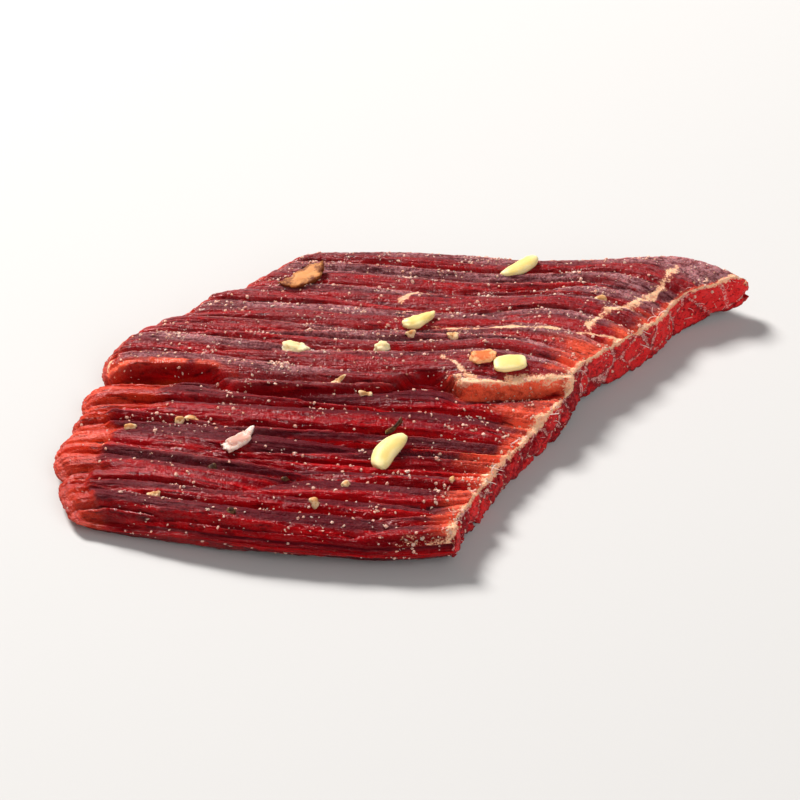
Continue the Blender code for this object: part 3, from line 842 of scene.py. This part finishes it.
def begin_strewing(name, size_names):
    """A tree that takes a surface and strews points over it, thicker where its named mark is larger."""
    tree = bpy.data.node_groups.new(name, "GeometryNodeTree")
    tree.interface.new_socket("Geometry", in_out="INPUT", socket_type="NodeSocketGeometry")
    for label in ("Per square metre", *size_names):
        tree.interface.new_socket(label, in_out="INPUT", socket_type="NodeSocketFloat")
    for label, kind in (("Mark", "String"), ("Seed", "Int"), ("Material", "Material")):
        tree.interface.new_socket(label, in_out="INPUT", socket_type="NodeSocket" + kind)
    tree.interface.new_socket("Geometry", in_out="OUTPUT", socket_type="NodeSocketGeometry")
    given = add(tree, "NodeGroupInput").outputs
    mark = add(tree, "GeometryNodeInputNamedAttribute", {"data_type": "FLOAT"}, {}, {"Name": given["Mark"]})
    density = add(tree, "ShaderNodeMath", {"operation": "MULTIPLY"}, {},
                  {0: mark.outputs["Attribute"], 1: given["Per square metre"]})
    strewn = add(tree, "GeometryNodeDistributePointsOnFaces", {}, {},
                 {"Mesh": given["Geometry"], "Density": density.outputs[0], "Seed": given["Seed"]})
    return tree, given, strewn.outputs


def end_strewing(tree, given, points, body, turn, size):
    """Ends the tree: a body stands on each point, turned and sized, and all are made real and coated."""
    placed = add(tree, "GeometryNodeInstanceOnPoints", {}, {},
                 {"Points": points, "Instance": body, "Rotation": turn, "Scale": size})
    solid = add(tree, "GeometryNodeRealizeInstances", {}, {}, {"Geometry": placed.outputs["Instances"]})
    coated = add(tree, "GeometryNodeSetMaterial", {}, {},
                 {"Geometry": solid.outputs["Geometry"], "Material": given["Material"]})
    add(tree, "NodeGroupOutput", {}, {}, {"Geometry": coated.outputs["Geometry"]})
    return tree


def grain_tree(name, body_cells, uneven):
    """Geometry nodes that strew lumpy grains over a surface, each of its own size and turn."""
    tree, given, strewn = begin_strewing(name, ("Smallest radius", "Largest radius"))
    ball = add(tree, "GeometryNodeMeshIcoSphere", {}, {"Radius": 1.0, "Subdivisions": body_cells})
    lumps = add(tree, "ShaderNodeTexNoise", {}, {"Scale": 1.7, "Detail": 1.0})
    lump = add(tree, "ShaderNodeVectorMath", {"operation": "MULTIPLY_ADD"},
               {1: (uneven, uneven, uneven), 2: (-uneven / 2, -uneven / 2, -uneven / 2)},
               {0: lumps.outputs["Color"]})
    body = add(tree, "GeometryNodeSetPosition", {}, {},
               {"Geometry": ball.outputs["Mesh"], "Offset": lump.outputs["Vector"]})
    turn = add(tree, "FunctionNodeRandomValue", {"data_type": "FLOAT_VECTOR"}, {1: (6.2832, 6.2832, 6.2832)})
    small = add(tree, "ShaderNodeCombineXYZ", {}, {}, {axis: given["Smallest radius"] for axis in range(3)})
    large = add(tree, "ShaderNodeCombineXYZ", {}, {}, {axis: given["Largest radius"] for axis in range(3)})
    size = add(tree, "FunctionNodeRandomValue", {"data_type": "FLOAT_VECTOR"}, {},
               {0: small.outputs[0], 1: large.outputs[0], "Seed": given["Seed"]})
    return end_strewing(tree, given, strewn["Points"], body.outputs["Geometry"], turn.outputs[0],
                        size.outputs[0])


def grown_piece(name, tree, values):
    """A plain mesh of what a tree of geometry nodes grows on the slice, given the tree's inputs by name."""
    piece = bpy.data.objects.new(name, slice_piece.data.copy())
    bpy.context.scene.collection.objects.link(piece)
    growing = piece.modifiers.new("strewn", "NODES")
    growing.node_group = tree
    for socket in tree.interface.items_tree:
        if socket.in_out == "INPUT" and socket.name in values:
            growing[socket.identifier] = values[socket.name]
    bpy.context.view_layer.update()
    grown = bpy.data.meshes.new_from_object(piece.evaluated_get(bpy.context.evaluated_depsgraph_get()))
    piece.modifiers.remove(growing)
    piece.data = grown
    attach(piece, "root")
    return piece


TINTS_PER_METRE = 900.0


def dry_bits(name, colour, roughness, glow):
    """Salt, dry crumbs or ends of fibre, too small to show more than two tints and a gleam."""
    material = bpy.data.materials.new(name)
    material.use_nodes = True
    tree = material.node_tree
    shader = tree.nodes["Principled BSDF"]
    place = add(tree, "ShaderNodeTexCoord").outputs["Object"]
    tint = add(tree, "ShaderNodeTexNoise", {}, {"Scale": TINTS_PER_METRE, "Detail": 1.0},
               {"Vector": place}).outputs["Fac"]
    mixed = add(tree, "ShaderNodeMix", {"data_type": "RGBA"}, {6: srgb(colour[0]), 7: srgb(colour[1])},
                {0: tint})
    tree.links.new(mixed.outputs[2], shader.inputs["Base Color"])
    shader.inputs["Roughness"].default_value = roughness
    shader.inputs["Subsurface Weight"].default_value = glow
    shader.inputs["Subsurface Radius"].default_value = (1.0, 0.6, 0.5)
    shader.inputs["Subsurface Scale"].default_value = 0.0003
    return material


grown_piece("salt_grains", grain_tree("salt_on_meat", 1, 0.5), {
    "Mark": "salt", "Per square metre": SALT_PER_AREA, "Smallest radius": SALT_SIZES[0],
    "Largest radius": SALT_SIZES[1], "Seed": 11,
    "Material": dry_bits("salt", ("F2CCBC", "B06C60"), 0.5, 0.7)})
grown_piece("salt_flakes", grain_tree("flakes_on_meat", 2, 1.2), {
    "Mark": "flakes", "Per square metre": FLAKES_PER_AREA, "Smallest radius": FLAKE_SIZES[0],
    "Largest radius": FLAKE_SIZES[1], "Seed": 29,
    "Material": dry_bits("salt_flakes", ("F6CDB8", "C88070"), 0.5, 0.8)})

# The crumbs of fat
# The knife dragged small crumbs of dried fat and gristle out of the cut. They stuck along its rim, along the
# lip of the raised layer and on the frayed corner at the front.

CRUMBS_PER_AREA = 24.0e6
CRUMB_SIZES = (0.00002, 0.00011)

grown_piece("fat_crumbs", grain_tree("crumbs_on_meat", 2, 1.4), {
    "Mark": "crumbs", "Per square metre": CRUMBS_PER_AREA, "Smallest radius": CRUMB_SIZES[0],
    "Largest radius": CRUMB_SIZES[1], "Seed": 5,
    "Material": dry_bits("dried_fat_crumbs", ("FCDCB8", "E08A6C"), 0.6, 0.2)})

# The loose fibres
# Ends of muscle fibre that the knife pulled loose, dried white and pink. Each is a curved thread 0.07 mm
# thick, and they stand out of the cut face and its rim, with a few on the rest of the top.

FIBRES_PER_AREA = 0.28e6
FIBRE_LENGTHS = (0.0003, 0.0011)
THREAD_RADIUS = 0.000036


def thread_tree():
    """Geometry nodes that plant curved threads on a surface, leaning every way."""
    tree, given, planted = begin_strewing("threads_on_meat", ("Shortest", "Longest", "Thread radius"))
    line = add(tree, "GeometryNodeCurveQuadraticBezier", {},
               {"Resolution": 6, "Start": (0, 0, 0), "Middle": (0.05, 0, 0.55), "End": (0.65, 0.2, 0.6)})
    ring = add(tree, "GeometryNodeCurvePrimitiveCircle", {}, {"Resolution": 4, "Radius": 1.0})
    slimness = add(tree, "ShaderNodeMath", {"operation": "DIVIDE"}, {},
                   {0: given["Thread radius"], 1: given["Longest"]})
    ring_size = add(tree, "ShaderNodeCombineXYZ", {}, {}, {axis: slimness.outputs[0] for axis in range(3)})
    profile = add(tree, "GeometryNodeTransform", {}, {},
                  {"Geometry": ring.outputs["Curve"], "Scale": ring_size.outputs[0]})
    thread = add(tree, "GeometryNodeCurveToMesh", {}, {"Fill Caps": True},
                 {"Curve": line.outputs["Curve"], "Profile Curve": profile.outputs["Geometry"]})
    lean = add(tree, "FunctionNodeRandomValue", {"data_type": "FLOAT_VECTOR"},
               {0: (-1.0, -1.0, -1.0), 1: (1.0, 1.0, 1.0), "Seed": 3})
    outward = add(tree, "ShaderNodeVectorMath", {"operation": "MULTIPLY_ADD"}, {1: (0.9, 0.9, 0.9)},
                  {0: planted["Normal"], 2: lean.outputs[0]})
    turn = add(tree, "FunctionNodeAlignRotationToVector", {"axis": "Z"}, {},
               {"Vector": outward.outputs["Vector"]})
    size = add(tree, "FunctionNodeRandomValue", {"data_type": "FLOAT"}, {"Seed": 7},
               {2: given["Shortest"], 3: given["Longest"]})
    return end_strewing(tree, given, planted["Points"], thread.outputs["Mesh"], turn.outputs["Rotation"],
                        size.outputs[1])


grown_piece("loose_fibres", thread_tree(), {
    "Mark": "loose", "Per square metre": FIBRES_PER_AREA, "Shortest": FIBRE_LENGTHS[0],
    "Longest": FIBRE_LENGTHS[1],
    "Thread radius": THREAD_RADIUS, "Seed": 23,
    "Material": dry_bits("dried_fibre", ("FAE6DE", "E4A89C"), 0.5, 0.4)})

# The floor, the lights and the camera
# A plain pale floor under soft studio light. The key light stands at the back on the left, so that the
# ridges of the grain stand out, and the camera looks from in front, 36 degrees above the slice.

FLOOR_SIZE = 3.0
AZIMUTH = math.radians(7.45)
ELEVATION = math.radians(36.0)
DISTANCE = 0.333
TARGET = Vector((-0.0002, -0.0017, 0.003))
PIXELS_PER_METRE = 11700
IMAGE_PIXELS = 800

half = FLOOR_SIZE / 2
floor_corners = [(-half, -half, 0), (half, -half, 0), (half, half, 0), (-half, half, 0)]
floor = new_piece("floor", floor_corners, [(0, 1, 2, 3)])
# Uncoated paper, so matt that it shows only soft shadows.
paper = bpy.data.materials.new("pale_paper")
paper.use_nodes = True
paper.node_tree.nodes["Principled BSDF"].inputs["Base Color"].default_value = srgb("C9C7C5")
paper.node_tree.nodes["Principled BSDF"].inputs["Roughness"].default_value = 0.9
floor.data.materials.append(paper)


def soft_box(name, place, size, watts, colour, mirrored):
    """A square soft light that faces the slice, and shows in its gloss if it is mirrored."""
    lamp = bpy.data.lights.new(name, "AREA")
    lamp.shape = "SQUARE"
    lamp.size = size
    lamp.energy = watts
    lamp.color = colour
    holder = bpy.data.objects.new(name, lamp)
    holder.location = place
    holder.visible_glossy = mirrored
    holder.rotation_mode = "QUATERNION"
    holder.rotation_quaternion = (-Vector(place)).to_track_quat("-Z", "Y")
    bpy.context.scene.collection.objects.link(holder)


soft_box("key_light", (-0.36, 0.38, 0.50), 0.20, 9.0, (1.0, 0.985, 0.965), True)
soft_box("fill_light", (0.40, -0.50, 0.45), 0.60, 3.0, (0.97, 0.98, 1.0), False)
world = bpy.data.worlds.new("studio")
world.use_nodes = True
world.node_tree.nodes["Background"].inputs["Color"].default_value = (1.0, 1.0, 1.0, 1.0)
world.node_tree.nodes["Background"].inputs["Strength"].default_value = 0.20
world.cycles_visibility.glossy = False
bpy.context.scene.world = world
bpy.context.scene.view_settings.view_transform = "Standard"

lens = bpy.data.cameras.new("camera")
lens.sensor_width = 36.0
lens.lens = PIXELS_PER_METRE * DISTANCE / IMAGE_PIXELS * lens.sensor_width
lens.clip_start = 0.01
camera = bpy.data.objects.new("camera", lens)
backward = Vector((math.sin(AZIMUTH) * math.cos(ELEVATION), -math.cos(AZIMUTH) * math.cos(ELEVATION),
                   math.sin(ELEVATION)))
camera.location = TARGET + backward * DISTANCE
camera.rotation_mode = "QUATERNION"
camera.rotation_quaternion = (-backward).to_track_quat("-Z", "Y")
bpy.context.scene.collection.objects.link(camera)
bpy.context.scene.camera = camera
